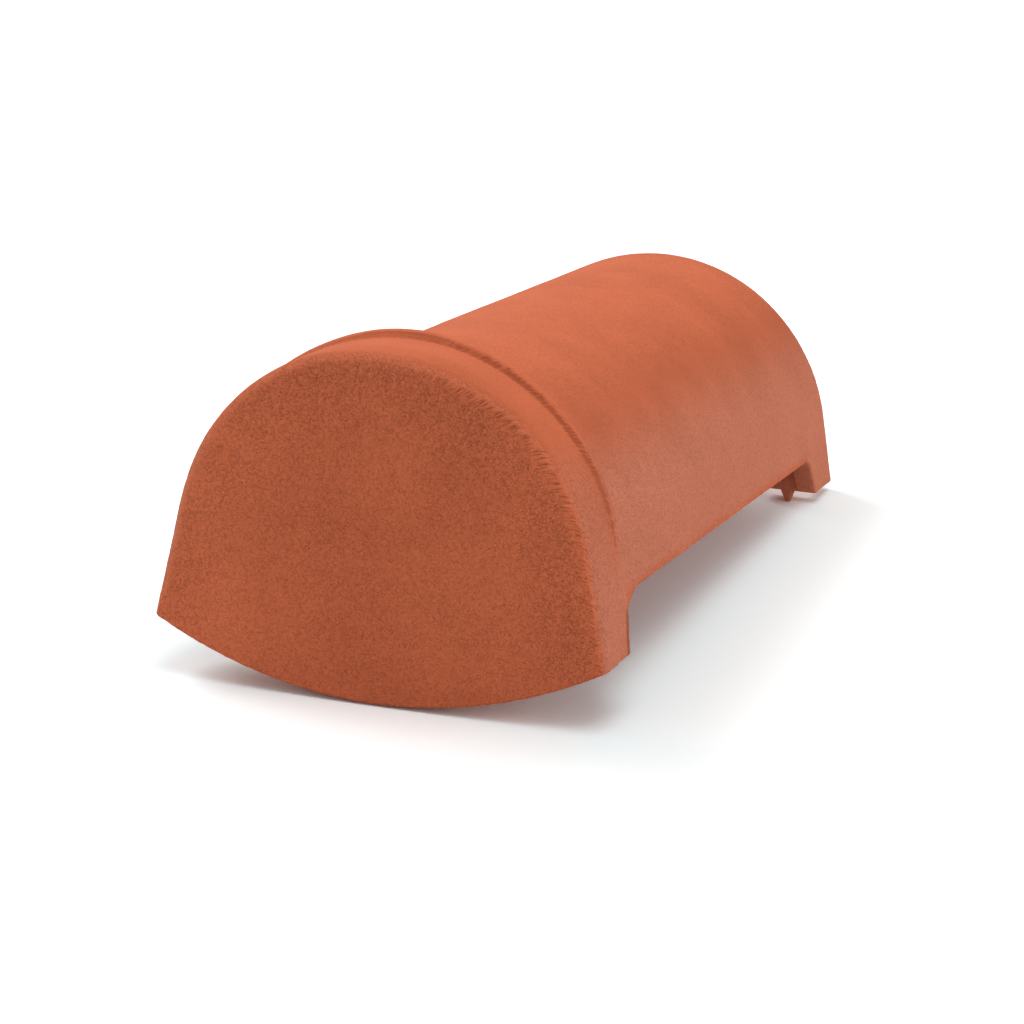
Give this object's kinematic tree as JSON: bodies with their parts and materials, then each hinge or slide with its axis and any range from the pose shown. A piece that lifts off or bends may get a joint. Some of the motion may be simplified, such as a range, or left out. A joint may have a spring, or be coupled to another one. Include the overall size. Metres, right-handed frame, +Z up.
{
  "type": "ridge end tile",
  "caption": "Half-round fired clay ridge tile for the end of a roof ridge, with a closed gable plate, a ribbed collar and an open underside.",
  "frame": {"origin": "on the floor under the middle of the tile, as it lies unheld on the belly of its plate and its two rear nibs", "axes": "+Y along the ridge from the closed plate towards the open rear end, +X across the ridge to the right seen from the plate, +Z up"},
  "size_m": [0.2464, 0.4628, 0.1826],
  "materials": {
    "fired_clay": "unglazed, natural red, matt"
  },
  "bodies": {
    "root": {"ridge_end_tile": "fired_clay"}
  },
  "joints": []
}
